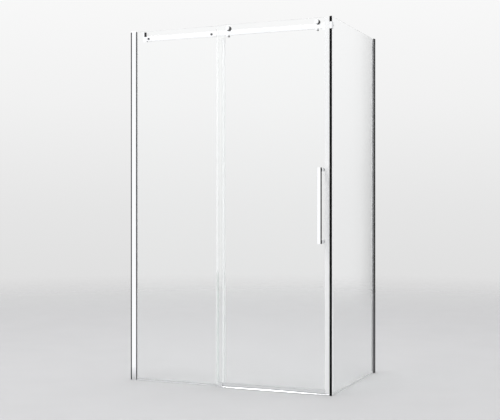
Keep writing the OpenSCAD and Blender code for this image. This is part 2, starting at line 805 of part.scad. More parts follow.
module anti_lift_bolts() {
    color("silver") for (x = roller_xs) {
        turned(x, door_y0 - washer_t, lift_z) cap_outline(lift_cap_d / 2, lift_cap_h);
        y_rod(x, lift_z, door_y0 - washer_t, lift_y1, lift_bolt_r);
    }
}

module anti_lift_bushes() {
    color("whitesmoke") for (x = roller_xs)
        glass_bush(x, lift_z, door_y0, lift_bolt_r, lift_bolt_r + glass_hole_wall, lift_cap_d / 2);
}

module anti_lift_sleeves() {
    color([0.1, 0.1, 0.1]) for (x = roller_xs) difference() {
        y_rod(x, lift_z, door_y1 + washer_t, lift_y1, lift_sleeve_d / 2);
        y_rod(x, lift_z, door_y1, rail_y1, lift_bolt_r);
    }
}

// Moulded wheel: tread between two flanges, and a seat with shoulders for the bearing
module wheel(x) {
    tread_half = rail_t / 2 + flange_gap;
    bevel = 1;
    color([0.08, 0.08, 0.08]) turned(x, rail_mid_y, wheel_z) difference() {
        polygon([
            [0, -wheel_half_w], [flange_r - bevel, -wheel_half_w], [flange_r, bevel - wheel_half_w],
            [flange_r, -tread_half - bevel], [tread_r, -tread_half], [tread_r, tread_half],
            [flange_r, tread_half + bevel], [flange_r, wheel_half_w - bevel],
            [flange_r - bevel, wheel_half_w], [0, wheel_half_w]
        ]);
        translate([0, -wheel_half_w - cut]) square([nut_r + fit, 2 * (wheel_half_w + cut)]);
        translate([0, -bearing_w / 2]) square([bearing_r, bearing_w]);
    }
}

// Outer ring with its two shields, and the balls between it and the inner ring on the shaft
module wheel_bearing(x) {
    race_r = ring_r + 2 * (ball_r + running_fit);
    shield_t = 0.6;
    color("silver") {
        turned(x, rail_mid_y, wheel_z) difference() {
            translate([ring_r + running_fit, -bearing_w / 2])
                square([bearing_r - ring_r - running_fit, bearing_w]);
            translate([0, shield_t - bearing_w / 2]) square([race_r, bearing_w - 2 * shield_t]);
        }
        for (turn = [0 : 360 / balls : 359])
            translate([x, rail_mid_y, wheel_z]) rotate([0, turn, 0])
                translate([ring_r + running_fit + ball_r, 0, 0]) sphere(ball_r);
    }
}

module left_wheel() wheel(roller_xs[0]);
module left_wheel_bearing() wheel_bearing(roller_xs[0]);
module right_wheel() wheel(roller_xs[1]);
module right_wheel_bearing() wheel_bearing(roller_xs[1]);

front_wall_channel();
front_glass_channel();
front_channel_gaskets();
front_channel_cap();
front_lock_screws();
front_lock_covers();
side_wall_channel();
side_glass_channel();
side_channel_gaskets();
side_channel_cap();
side_lock_screws();
side_lock_covers();
fixed_glass();
fixed_edge_seal();
fixed_bottom_seal();
side_glass();
side_bottom_seal();
side_edge_profiles();
side_magnet_strips();
rail();
rail_spacers();
rail_bolts();
rail_cap_nuts();
rail_glass_bushes();
rail_end_stop();
end_stop_bumper();
end_stop_grub_screw();
corner_connector();
connector_bolt();
connector_liners();
connector_grub_screw();
threshold();
bottom_guide();
guide_pads();
guide_grub_screw();
door_glass();
door_magnet_seal();
door_magnet_strip();
door_edge_seal();
door_sweep();
handle();
handle_bolts();
handle_washers();
roller_axles();
roller_bushes();
roller_hub_nuts();
roller_inner_rings();
roller_end_screws();
anti_lift_bolts();
anti_lift_bushes();
anti_lift_sleeves();
left_wheel();
left_wheel_bearing();
right_wheel();
right_wheel_bearing();
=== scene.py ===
"""Looks of a corner shower enclosure with a sliding glass door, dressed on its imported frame."""
import json
import math

import bmesh
import bpy
from mathutils import Matrix, Vector

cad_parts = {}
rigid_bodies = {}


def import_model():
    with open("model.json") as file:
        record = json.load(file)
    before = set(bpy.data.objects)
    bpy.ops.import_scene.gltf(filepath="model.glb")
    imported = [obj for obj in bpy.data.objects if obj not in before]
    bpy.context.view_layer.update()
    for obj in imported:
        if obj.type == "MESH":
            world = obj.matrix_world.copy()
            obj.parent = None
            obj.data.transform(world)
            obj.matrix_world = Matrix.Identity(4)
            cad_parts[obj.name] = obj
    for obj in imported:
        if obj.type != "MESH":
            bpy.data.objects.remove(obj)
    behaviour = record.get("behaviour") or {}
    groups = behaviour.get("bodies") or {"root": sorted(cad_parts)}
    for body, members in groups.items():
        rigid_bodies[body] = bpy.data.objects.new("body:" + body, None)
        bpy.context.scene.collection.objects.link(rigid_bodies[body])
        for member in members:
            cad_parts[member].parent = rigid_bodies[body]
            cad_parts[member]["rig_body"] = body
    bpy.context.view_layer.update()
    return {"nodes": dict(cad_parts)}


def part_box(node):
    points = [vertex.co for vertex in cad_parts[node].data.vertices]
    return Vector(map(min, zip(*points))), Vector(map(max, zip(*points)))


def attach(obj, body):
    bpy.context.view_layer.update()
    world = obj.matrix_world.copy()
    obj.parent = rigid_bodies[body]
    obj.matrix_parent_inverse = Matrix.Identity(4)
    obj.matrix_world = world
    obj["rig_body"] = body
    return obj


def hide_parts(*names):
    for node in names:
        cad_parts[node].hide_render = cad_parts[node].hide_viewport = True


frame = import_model()

# Camera, floor and studio light
# The camera stands in front and to the right at chest height, level, as the photograph has it.
# The room is plain, soft and white over a pale floor that fades at its rim. Polished metal also
# mirrors a dark side of that room, for its dark edges, and a stretch of floor in front that glows
# for reflections only, a painted reflection.
photo_px = (500, 420)
photo_focal_px = 1004.5
photo_turn = math.radians(22.928)
horizon_px = 206.43
sensor_mm = 36.0
view_reach = 60.0
scene = bpy.context.scene
camera_data = bpy.data.cameras.new("photo_camera")
camera_data.sensor_width = sensor_mm
camera_data.lens = sensor_mm * photo_focal_px / photo_px[0]
camera_data.shift_y = (horizon_px - photo_px[1] / 2) / photo_px[0]
camera_data.clip_end = view_reach
camera = bpy.data.objects.new("photo_camera", camera_data)
camera.location = (2.2133, -5.2745, 0.9711)
camera.rotation_euler = (math.radians(90), 0, photo_turn)
scene.collection.objects.link(camera)
scene.camera = camera
scene.view_settings.view_transform = "Standard"


def feed(tree, target, value):
    """Sets an input to a fixed value, or wires it to another node's output."""
    if isinstance(value, bpy.types.NodeSocket):
        tree.links.new(value, target)
    else:
        target.default_value = value


def set_inputs(tree, node, **inputs):
    """Sets a node's inputs by name, with _ for a space, to fixed values or to outputs."""
    for name, value in inputs.items():
        feed(tree, node.inputs[name.replace("_", " ")], value)


def put(tree, kind, **inputs):
    """Adds a node to a tree and sets its inputs."""
    node = tree.nodes.new(kind)
    set_inputs(tree, node, **inputs)
    return node


def maths(tree, operation, a, b):
    """What a Math node makes of two outputs or numbers."""
    node = tree.nodes.new("ShaderNodeMath")
    node.operation = operation
    feed(tree, node.inputs[0], a)
    feed(tree, node.inputs[1], b)
    return node.outputs[0]


def ranged(tree, source, low, high, start=0.3, stop=0.7):
    """A value that runs from low to high while its source runs from start to stop."""
    band = put(
        tree, "ShaderNodeMapRange", Value=source, From_Min=start, From_Max=stop, To_Min=low, To_Max=high
    )
    return band.outputs["Result"]


def tinted(tree, source, low, high, start=0.3, stop=0.7):
    """A colour that runs from low to high while its source runs from start to stop."""
    ramp = put(tree, "ShaderNodeValToRGB", Fac=source)
    for mark, position, colour in zip(ramp.color_ramp.elements, (start, stop), (low, high)):
        mark.position = position
        mark.color = (*colour, 1)
    return ramp.outputs["Color"]


def banded(tree, source, span, stops):
    """A grey curve over a value: its stops give the value and how light it is there."""
    low, high = span
    ramp = put(tree, "ShaderNodeValToRGB", Fac=ranged(tree, source, 0.0, 1.0, low, high))
    marks = ramp.color_ramp.elements
    while len(marks) < len(stops):
        marks.new(0.5)
    for mark, (value, tone) in zip(marks, stops):
        mark.position = (value - low) / (high - low)
        mark.color = (tone, tone, tone, 1)
    return ramp.outputs["Color"]


def colour_mix(tree, share, first, second):
    """Blends two colours, each fixed or an output, by a share from 0 to 1."""
    node = tree.nodes.new("ShaderNodeMix")
    node.data_type = "RGBA"
    set_inputs(tree, node, Factor=share)
    feed(tree, node.inputs[6], first)
    feed(tree, node.inputs[7], second)
    return node.outputs[2]


def shader_mix(tree, share, first, second):
    """Blends two shaders by a share from 0 to 1."""
    node = tree.nodes.new("ShaderNodeMixShader")
    for target, source in zip(node.inputs, (share, first, second)):
        feed(tree, target, source)
    return node.outputs[0]


room_light = (1.12, 1.12, 1.13, 1)
room_dark = (0.02, 0.02, 0.022, 1)
# How dark the mirrored room is, by compass heading in degrees from the rear towards the right
heading_span = (-10.0, 100.0)
dark_headings = (
    (-8.0, 0.0), (-4.0, 1.0), (15.95, 1.0), (16.2, 0.62), (16.4, 0.42), (16.75, 0.3),
    (17.1, 0.25), (20.0, 0.15), (23.0, 1.0), (77.0, 1.0), (87.0, 0.0),
)
# How bright the backdrop is, by the rise of the view ray that meets it
rise_span = (-0.2, 0.2)
backdrop_tones = ((-0.14, 0.70), (0.0, 0.79), (0.10, 0.88), (0.2, 0.94))
# The mirrored dark eases a little for rays that rise
level_rise, steep_rise = 0.02, 0.2
steep_dark = 0.8
# Ray kinds and depths are whole numbers, and this tells none from one or more
at_least_one = 0.5
world = bpy.data.worlds.new("soft_white_room")
scene.world = world
world.use_nodes = True
room = world.node_tree
room.nodes.clear()
way = put(room, "ShaderNodeSeparateXYZ", Vector=put(room, "ShaderNodeTexCoord").outputs["Generated"])
rise = way.outputs["Z"]
heading = maths(room, "DEGREES", maths(room, "ARCTAN2", way.outputs["X"], way.outputs["Y"]), 0.0)
darkness = banded(room, heading, heading_span, dark_headings)
easing = ranged(room, rise, 1.0, steep_dark, level_rise, steep_rise)
path = put(room, "ShaderNodeLightPath").outputs
unscattered = maths(room, "LESS_THAN", path["Diffuse Depth"], at_least_one)
darkness = maths(room, "MULTIPLY", darkness, maths(room, "MULTIPLY", easing, unscattered))
mirrored = colour_mix(room, darkness, room_light, room_dark)
bounces = maths(room, "ADD", path["Glossy Depth"], path["Diffuse Depth"])
straight = maths(room, "LESS_THAN", bounces, at_least_one)
through = maths(room, "MULTIPLY", path["Is Transmission Ray"], straight)
looked_at = maths(room, "MAXIMUM", path["Is Camera Ray"], through)
backdrop = banded(room, rise, rise_span, backdrop_tones)
glow = put(room, "ShaderNodeBackground", Color=colour_mix(room, looked_at, mirrored, backdrop))
put(room, "ShaderNodeOutputWorld", Surface=glow.outputs[0])

lamps_face = Vector((0, 0, 0.9))
for name, place, size, power in (
    ("key_box", (-2.0, -2.6, 5.6), 2.0, 75),
    ("fill_box", (2.6, -1.8, 5.2), 1.6, 25),
    ("top_box", (0.2, 1.0, 5.4), 2.4, 45),
):
    softbox = bpy.data.lights.new(name, "AREA")
    softbox.size = size
    softbox.energy = power
    lamp = bpy.data.objects.new(name, softbox)
    lamp.location = place
    lamp.rotation_euler = (lamps_face - Vector(place)).to_track_quat("-Z", "Y").to_euler()
    scene.collection.objects.link(lamp)


def new_finish(name, **inputs):
    """A material with its own Principled shader, and that shader's plain values."""
    paint = bpy.data.materials.new(name)
    paint.use_nodes = True
    shader = paint.node_tree.nodes["Principled BSDF"]
    set_inputs(paint.node_tree, shader, **inputs)
    return paint, paint.node_tree, shader


floor_reach = 14.0
floor_sides = 96
floor_drop = 0.0005
fade_from, fade_to = 2.2, 9.0
bright_from_y, bright_to_y = -0.4, -0.8
floor_tones = ((0.445, 0.445, 0.45), (0.48, 0.48, 0.485))
floor_mesh = bpy.data.meshes.new("studio_floor")
ground = bmesh.new()
bmesh.ops.create_circle(ground, cap_ends=True, segments=floor_sides, radius=floor_reach)
bmesh.ops.translate(ground, verts=ground.verts, vec=(0, 0, -floor_drop))
ground.to_mesh(floor_mesh)
ground.free()
floor = bpy.data.objects.new("studio_floor", floor_mesh)
scene.collection.objects.link(floor)
floor_paint, tree, matt = new_finish("pale_floor", Roughness=0.75)
spot = put(tree, "ShaderNodeTexCoord").outputs["Object"]
away = put(tree, "ShaderNodeVectorMath")
away.operation = "LENGTH"
feed(tree, away.inputs[0], spot)
fade = put(tree, "ShaderNodeMapRange", Value=away.outputs["Value"], From_Min=fade_from, From_Max=fade_to)
fade.interpolation_type = "SMOOTHSTEP"
speckle = put(tree, "ShaderNodeTexNoise", Vector=spot, Scale=3.0, Detail=3.0)
speckled = tinted(tree, speckle.outputs["Fac"], *floor_tones, start=0.0, stop=1.0)
set_inputs(tree, matt, Base_Color=speckled)
depth = put(tree, "ShaderNodeSeparateXYZ", Vector=spot).outputs["Y"]
in_front = ranged(tree, depth, 0.0, 1.0, bright_from_y, bright_to_y)
ray = put(tree, "ShaderNodeLightPath").outputs
reflected = maths(tree, "SUBTRACT", ray["Is Glossy Ray"], ray["Is Transmission Ray"])
reflected = maths(tree, "GREATER_THAN", reflected, at_least_one)
# The floor's glow in front shows in reflections only: a painted reflection.
floor_glow_painted_reflection = put(tree, "ShaderNodeEmission", Color=room_light, Strength=1.0)
mirrored_front = maths(tree, "MULTIPLY", reflected, in_front)
lit_floor = shader_mix(tree, mirrored_front, matt.outputs[0], floor_glow_painted_reflection.outputs[0])
clear = put(tree, "ShaderNodeBsdfTransparent")
faded_floor = shader_mix(tree, fade.outputs["Result"], lit_floor, clear.outputs[0])
set_inputs(tree, tree.nodes["Material Output"], Surface=faded_floor)
floor_paint.cycles.emission_sampling = "NONE"
floor_mesh.materials.append(floor_paint)

# Wall channels
# Two extruded satin aluminium U channels, screwed upright to the side wall and the rear wall, their
# near-black colour painted shade for the recess they stand in. They hide inside the glass channels, so
# only the edges of their legs and their ends show.


def shader_group(name, inputs, outputs):
    """An empty shader group with its named inputs (kind, value) and outputs (kind)."""
    group = bpy.data.node_groups.new(name, "ShaderNodeTree")
    for label, (kind, value) in inputs.items():
        socket = group.interface.new_socket(label, in_out="INPUT", socket_type=kind)
        socket.default_value = value
    for label, kind in outputs.items():
        group.interface.new_socket(label, in_out="OUTPUT", socket_type=kind)
    return group, group.nodes.new("NodeGroupInput").outputs, group.nodes.new("NodeGroupOutput")


def use_group(tree, group, **inputs):
    """What a shader group puts out for a material's own values."""
    node = tree.nodes.new("ShaderNodeGroup")
    node.node_tree = group
    set_inputs(tree, node, **inputs)
    return node.outputs


# Die lines that run along an extrusion: long thin streaks, with a faint bump
die_lines, given, made = shader_group(
    "die_lines",
    {"Stretch": ("NodeSocketVector", (400, 400, 2)), "Depth": ("NodeSocketFloat", 0.05)},
    {"Streak": "NodeSocketFloat", "Normal": "NodeSocketVector"},
)
stretched = put(die_lines, "ShaderNodeVectorMath")
stretched.operation = "MULTIPLY"
feed(die_lines, stretched.inputs[0], put(die_lines, "ShaderNodeTexCoord").outputs["Object"])
feed(die_lines, stretched.inputs[1], given["Stretch"])
lines = put(
    die_lines, "ShaderNodeTexNoise", Vector=stretched.outputs[0], Scale=1.0, Detail=3.0, Roughness=0.6
).outputs["Fac"]
relief = put(die_lines, "ShaderNodeBump", Strength=given["Depth"], Distance=0.0002, Height=lines)
set_inputs(die_lines, made, Streak=lines, Normal=relief.outputs["Normal"])

# Handling marks: broad soft clouds broken by a finer grain, as a wiped surface keeps
wiped, given, made = shader_group(
    "wiped_marks",
    {"Size": ("NodeSocketFloat", 9.0), "Amount": ("NodeSocketFloat", 0.5)},
    {"Mark": "NodeSocketFloat"},
)
grain_to_cloud = 11.0
cloud_edge = (0.48, 0.72)
spot = put(wiped, "ShaderNodeTexCoord").outputs["Object"]
clouds = put(wiped, "ShaderNodeTexNoise", Vector=spot, Scale=given["Size"], Detail=2.0, Roughness=0.5)
grain = maths(wiped, "MULTIPLY", given["Size"], grain_to_cloud)
finer = put(wiped, "ShaderNodeTexNoise", Vector=spot, Scale=grain, Detail=4.0, Roughness=0.65)
raised = ranged(wiped, clouds.outputs["Fac"], 0.0, 1.0, *cloud_edge)
broken = maths(wiped, "MULTIPLY", raised, finer.outputs["Fac"])
set_inputs(wiped, made, Mark=maths(wiped, "MULTIPLY", broken, given["Amount"]))

line_share = 0.6


def worn(tree, lines, mark):
    """A mask of wear, made of the lines of the tool and of handling marks."""
    return maths(tree, "ADD", maths(tree, "MULTIPLY", lines, line_share), mark)


def metal(name, low, high, rough, stretch, depth, anodic=0.0):
    """A metal finish: its two tones, its roughness range, and the way its die lines run."""
    paint, tree, shader = new_finish(name, Metallic=1.0, Coat_Weight=anodic, Coat_Roughness=0.12)
    drawn = use_group(tree, die_lines, Stretch=stretch, Depth=depth)
    wear = worn(tree, drawn["Streak"], use_group(tree, wiped)["Mark"])
    set_inputs(
        tree, shader, Base_Color=tinted(tree, drawn["Streak"], low, high),
        Roughness=ranged(tree, wear, *rough, start=0.2, stop=0.75), Normal=drawn["Normal"],
    )
    return paint


def shaded(mesh):
    """Smooth shading in which a wide face stays flat and only the narrow eased edges turn the light."""
    crease_degrees = 32
    limit = math.cos(math.radians(crease_degrees))
    faces_at = [[] for _ in mesh.vertices]
    for face in mesh.polygons:
        face.use_smooth = True
        for corner in face.vertices:
            faces_at[corner].append((face.normal.copy(), face.area))
    normals = [Vector((0, 0, 1))] * len(mesh.loops)
    for face in mesh.polygons:
        for loop in face.loop_indices:
            turn = Vector()
            for normal, area in faces_at[mesh.loops[loop].vertex_index]:
                if normal.dot(face.normal) > limit:
                    turn += normal * area
            normals[loop] = turn.normalized() if turn.length > 0 else face.normal.copy()
    mesh.normals_split_custom_set(normals)
    return mesh


def stand_in(name, mesh, finish, slot, *nodes):
    """Puts a finished mesh in place of CAD pieces, on the body that they ride on."""
    if finish is not None:
        mesh.materials.clear()
        mesh.materials.append(finish)
    piece = bpy.data.objects.new(name, mesh)
    scene.collection.objects.link(piece)
    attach(piece, frame["nodes"][nodes[0]]["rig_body"])
    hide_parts(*nodes)
    return piece


def join_flat_faces(work):
    """Makes flat faces whole again, with the shape as it was."""
    flat_degrees = 0.5
    bmesh.ops.dissolve_limit(
        work, angle_limit=math.radians(flat_degrees), verts=work.verts, edges=work.edges,
        use_dissolve_boundaries=False,
    )


def solid_of(node):
    """A CAD piece's mesh to work on, merged, with its flat faces made whole."""
    same_point = 2e-6
    work = bmesh.new()
    work.from_mesh(frame["nodes"][node].data)
    bmesh.ops.remove_doubles(work, verts=work.verts, dist=same_point)
    join_flat_faces(work)
    return work


def edges_eased(name, work, width, steps=2):
    """Rounds the sharp edges by a small radius, as deburred and polished parts have."""
    sharp_degrees = 28
    sharp = [
        edge for edge in work.edges
        if len(edge.link_faces) == 2 and edge.calc_face_angle(0) > math.radians(sharp_degrees)
    ]
    bmesh.ops.bevel(
        work, geom=sharp, offset=width, offset_type="OFFSET", segments=steps, profile=0.5,
        affect="EDGES", clamp_overlap=True,
    )
    bmesh.ops.triangulate(work, faces=[face for face in work.faces if len(face.verts) > 4])
    mesh = bpy.data.meshes.new(name)
    work.to_mesh(mesh)
    work.free()
    for kept in ("custom_normal", "sharp_face", "sharp_edge"):
        if kept in mesh.attributes:
            mesh.attributes.remove(mesh.attributes[kept])
    return shaded(mesh)


def eased(name, node, finish, slot, width, steps=2):
    """Stands in for one CAD piece with the same solid, its edges eased."""
    return stand_in(name, edges_eased(name, solid_of(node), width, steps), finish, slot, node)


# Near-black tones: painted shade for the dark recess beside the walls.
painted_shade_upright = metal(
    "wall_profile_painted_shade", (0.022, 0.022, 0.023), (0.036, 0.036, 0.038), rough=(0.26, 0.42),
    stretch=(900, 900, 3), depth=0.12,
)
for side in ("front", "side"):
    eased(f"{side}_wall_profile", f"{side}_wall_channel", painted_shade_upright, "plain_aluminium", width=0.0003)

# Glass channels, their caps and gaskets
# Extruded aluminium H channels, polished and bright anodised, slid over the wall channels and locked.
# The rear one carries painted shade on its outer side. Rubber gaskets, grey outside and pale inside, press
# the glass from both sides; the rear outer one is painted a lighter grey, as painted light. A plugged cap
# closes each channel's top.


def attribute_of(tree, name):
    """What a piece's own attribute says of a face or a vertex."""
    node = tree.nodes.new("ShaderNodeAttribute")
    node.attribute_name = name
    return node.outputs["Fac"]


def mark_faces(mesh, attribute, value_of):
    """Writes an attribute for a finish to read, from what a function says of each face."""
    marks = mesh.attributes.new(attribute, "FLOAT", "FACE")
    for face in mesh.polygons:
        marks.data[face.index].value = float(value_of(face))


def metal_with_painted_shade(name, bright, painted_shade_colours, rough, dull_rough, stretch, glancing=1.0):
    """Drawn and polished metal with painted shade on its shaded_side faces: they are rougher, and a darker
    colour is painted on them.
    Glancing is how much of their mirror those faces keep when they are seen from far to the side, which
    paints a darker reflection on them too."""
    marks_roughen = 0.12
    paint, tree, shader = new_finish(name, Metallic=1.0)
    drawn = use_group(tree, die_lines, Stretch=stretch, Depth=0.03)
    shade = attribute_of(tree, "shaded_side")
    bright_tone = tinted(tree, drawn["Streak"], *bright)
    # The darker tones of the shaded_side faces are painted shade.
    painted_shade_tone = tinted(tree, drawn["Streak"], *painted_shade_colours)
    mark = maths(tree, "MULTIPLY", use_group(tree, wiped)["Mark"], marks_roughen)
    duller = maths(tree, "MULTIPLY", shade, dull_rough - rough)
    set_inputs(
        tree, shader, Base_Color=colour_mix(tree, shade, bright_tone, painted_shade_tone),
        Roughness=maths(tree, "ADD", maths(tree, "ADD", mark, rough), duller), Normal=drawn["Normal"],
    )
    if glancing < 1:
        kept = colour_mix(tree, shade, (1, 1, 1, 1), (glancing, glancing, glancing, 1))
        set_inputs(tree, shader, Specular_Tint=kept)
    return paint


# Fine matt pores of moulded rubber, with a faint bump
pores, given, made = shader_group(
    "rubber_pores",
    {"Grain": ("NodeSocketFloat", 900.0)},
    {"Pore": "NodeSocketFloat", "Normal": "NodeSocketVector"},
)
spot = put(pores, "ShaderNodeTexCoord").outputs["Object"]
cells = put(
    pores, "ShaderNodeTexNoise", Vector=spot, Scale=given["Grain"], Detail=5.0, Roughness=0.6
).outputs["Fac"]
relief = put(pores, "ShaderNodeBump", Strength=0.25, Distance=0.0002, Height=cells)
set_inputs(pores, made, Pore=cells, Normal=relief.outputs["Normal"])


def rubber_finish(name, low, high, rough, grain=900):
    """Soft rubber or moulded nylon with a fine matt grain."""
    paint, tree, shader = new_finish(name, Specular_IOR_Level=0.35)
    porous = use_group(tree, pores, Grain=grain)
    set_inputs(
        tree, shader, Base_Color=tinted(tree, porous["Pore"], low, high),
        Roughness=ranged(tree, porous["Pore"], *rough), Normal=porous["Normal"],
    )
    return paint


bright_tones = ((0.84, 0.85, 0.86), (0.93, 0.935, 0.94))
bright_upright = metal(
    "bright_anodised_upright", *bright_tones, rough=(0.03, 0.1), stretch=(700, 700, 2), depth=0.03,
    anodic=0.1,
)
# The darker tones on the rear channel's outer side are painted shade.
rear_upright = metal_with_painted_shade(
    "rear_anodised_upright", bright_tones, ((0.12, 0.121, 0.123), (0.16, 0.161, 0.163)),
    rough=0.05, dull_rough=0.07, stretch=(700, 700, 2), glancing=0.5,
)
bright_block = metal(
    "bright_cast_cap", (0.84, 0.85, 0.86), (0.92, 0.925, 0.93), rough=(0.08, 0.2),
    stretch=(160, 160, 160), depth=0.03, anodic=0.2,
)
dark_gasket = rubber_finish("dark_grey_gasket", (0.045, 0.045, 0.047), (0.075, 0.075, 0.078), (0.5, 0.7))
# The rear outer gasket is painted a lighter grey than the front outer one, as painted light.
painted_light_gasket = rubber_finish("rear_gasket_painted_light", (0.17, 0.17, 0.173), (0.22, 0.22, 0.224), (0.5, 0.7))
pale_gasket = rubber_finish("pale_grey_gasket", (0.84, 0.84, 0.845), (0.90, 0.90, 0.905), (0.45, 0.65))
rear_glass_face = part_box("side_glass")[1].x
for side, across, outwards, finish, outer_gasket in (
    ("front", 1, -1, bright_upright, dark_gasket),
    ("side", 0, 1, rear_upright, painted_light_gasket),
):
    channel = eased(
        f"{side}_channel_body", f"{side}_glass_channel", finish, "polished_aluminium", width=0.0006
    )
    if side == "side":
        # The rear channel's outer faces get the painted shade.
        mark_faces(channel.data, "shaded_side", lambda face: face.center.x > rear_glass_face)
    eased(
        f"{side}_channel_top_cap", f"{side}_channel_cap", bright_block, "polished_aluminium", width=0.0009
    )
    low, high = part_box(f"{side}_channel_gaskets")
    middle = (low[across] + high[across]) / 2
    for place, rubber in (("outer", outer_gasket), ("inner", pale_gasket)):
        work = solid_of(f"{side}_channel_gaskets")
        other_strip = [
            vert for vert in work.verts
            if ((vert.co[across] - middle) * outwards > 0) != (place == "outer")
        ]
        bmesh.ops.delete(work, geom=other_strip, context="VERTS")
        strip = edges_eased(f"{side}_{place}_gasket", work, width=0.0003)
        stand_in(f"{side}_{place}_gasket", strip, rubber, "gasket", f"{side}_channel_gaskets")

# Locking screws and their snap covers
# Three stainless pan-head screws hold each pair of channels together from inside the shower.
# A small chromed cover with a domed face snaps over every screw head.


def dress(finish, *nodes):
    """Gives CAD pieces their finish."""
    for node in nodes:
        piece = frame["nodes"][node]
        if not piece.data.materials:
            piece.data.materials.append(finish)
        for slot in piece.material_slots:
            slot.material = finish


def rim_rows(radius, along, rim):
    """Rows of a rounded rim, which says how far each lies inside the side and below the end face."""
    return [(radius - inwards, along - below) for inwards, below in rim]


def turned(name, rows, facing, sides=60):
    """A turned piece about an axis through the origin. Rows give radius and distance along the facing
    direction, and "hex" for a hexagonal ring, where the radius is half the width across flats. Rows
    that end where they began make a ring."""
    facing = Vector(facing).normalized()
    across = facing.orthogonal().normalized()
    other = facing.cross(across)
    work = bmesh.new()
    ring_r = work.verts.layers.float.new("ring_r")
    rings = []
    for radius, along, *shape in rows:
        if rings and (radius, along) == rows[0]:
            rings.append(rings[0])
            continue
        if radius <= 0:
            rings.append([work.verts.new(facing * along)])
            continue
        ring = []
        for step in range(sides):
            turn = 2 * math.pi * step / sides
            r = radius
            if shape == ["hex"]:
                r = radius / math.cos((turn + math.pi / 6) % (math.pi / 3) - math.pi / 6)
            point = work.verts.new(facing * along + (across * math.cos(turn) + other * math.sin(turn)) * r)
            point[ring_r] = r
            ring.append(point)
        rings.append(ring)
    for a, b in zip(rings, rings[1:]):
        for step in range(sides):
            following = (step + 1) % sides
            if len(a) == 1:
                work.faces.new((a[0], b[step], b[following]))
            elif len(b) == 1:
                work.faces.new((a[step], b[0], a[following]))
            else:
                work.faces.new((a[step], b[step], b[following], a[following]))
    bmesh.ops.recalc_face_normals(work, faces=work.faces)
    mesh = bpy.data.meshes.new(name)
    work.to_mesh(mesh)
    work.free()
    return mesh


# Copies one piece along a row: how many, where the first one sits, and the step to the next
hardware_row = bpy.data.node_groups.new("hardware_row", "GeometryNodeTree")
for label, kind in (
    ("Geometry", "NodeSocketGeometry"), ("Piece", "NodeSocketObject"), ("Count", "NodeSocketInt"),
    ("First", "NodeSocketVector"), ("Step", "NodeSocketVector"), ("Finish", "NodeSocketMaterial"),
):
    hardware_row.interface.new_socket(label, in_out="INPUT", socket_type=kind)
hardware_row.interface.new_socket("Geometry", in_out="OUTPUT", socket_type="NodeSocketGeometry")
given = hardware_row.nodes.new("NodeGroupInput").outputs
places = put(
    hardware_row, "GeometryNodeMeshLine", Count=given["Count"], Start_Location=given["First"],
    Offset=given["Step"],
)
shape = put(hardware_row, "GeometryNodeObjectInfo", Object=given["Piece"])
copies = put(
    hardware_row, "GeometryNodeInstanceOnPoints", Points=places.outputs["Mesh"],
    Instance=shape.outputs["Geometry"],
)
real = put(hardware_row, "GeometryNodeRealizeInstances", Geometry=copies.outputs["Instances"])
painted = put(
    hardware_row, "GeometryNodeSetMaterial", Geometry=real.outputs["Geometry"], Material=given["Finish"]
)
put(hardware_row, "NodeGroupOutput", Geometry=painted.outputs["Geometry"])


def row_of(name, one, count, first, step, finish, slot, *nodes):
    """A row of like hardware, made by the hardware_row tree and turned into one plain mesh."""
    pattern = bpy.data.objects.new(name + "_pattern", one)
    holder = bpy.data.objects.new(name + "_row", bpy.data.meshes.new(name + "_row"))
    scene.collection.objects.link(holder)
    maker = holder.modifiers.new("row", "NODES")
    maker.node_group = hardware_row
    wanted = {
        "Piece": pattern, "Count": count, "First": [float(v) for v in first],
        "Step": [float(v) for v in step], "Finish": finish,
    }
    for item in hardware_row.interface.items_tree:
        if item.in_out == "INPUT" and item.name in wanted:
            maker[item.identifier] = wanted[item.name]
    solved = holder.evaluated_get(bpy.context.evaluated_depsgraph_get())
    mesh = bpy.data.meshes.new_from_object(solved)
    mesh.name = name
    holder.modifiers.remove(maker)
    bpy.data.objects.remove(holder)
    bpy.data.objects.remove(pattern)
    stand_in(name, shaded(mesh), None, slot, *nodes)


# Fine rings that a lathe leaves, read from the turned piece's own ring_r attribute
lathe_rings, given, made = shader_group(
    "lathe_rings",
    {"Rings": ("NodeSocketFloat", 2600.0), "Depth": ("NodeSocketFloat", 0.06)},
    {"Ring": "NodeSocketFloat", "Normal": "NodeSocketVector"},
)
swept = put(lathe_rings, "ShaderNodeTexNoise", Scale=given["Rings"], Detail=2.0, Roughness=0.5)
swept.noise_dimensions = "1D"
set_inputs(lathe_rings, swept, W=attribute_of(lathe_rings, "ring_r"))
rings = swept.outputs["Fac"]
relief = put(lathe_rings, "ShaderNodeBump", Strength=given["Depth"], Distance=0.0001, Height=rings)
set_inputs(lathe_rings, made, Ring=rings, Normal=relief.outputs["Normal"])


def turned_metal(name, low, high, rough, rings=2600.0, depth=0.06):
    """Turned metal: its two tones, its roughness range, and how fine and deep its rings are."""
    paint, tree, shader = new_finish(name, Metallic=1.0)
    swept = use_group(tree, lathe_rings, Rings=rings, Depth=depth)
    wear = worn(tree, swept["Ring"], use_group(tree, wiped, Size=60.0, Amount=0.6)["Mark"])
    set_inputs(
        tree, shader, Base_Color=tinted(tree, swept["Ring"], low, high),
        Roughness=ranged(tree, wear, *rough, start=0.2, stop=0.7), Normal=swept["Normal"],
    )
    return paint


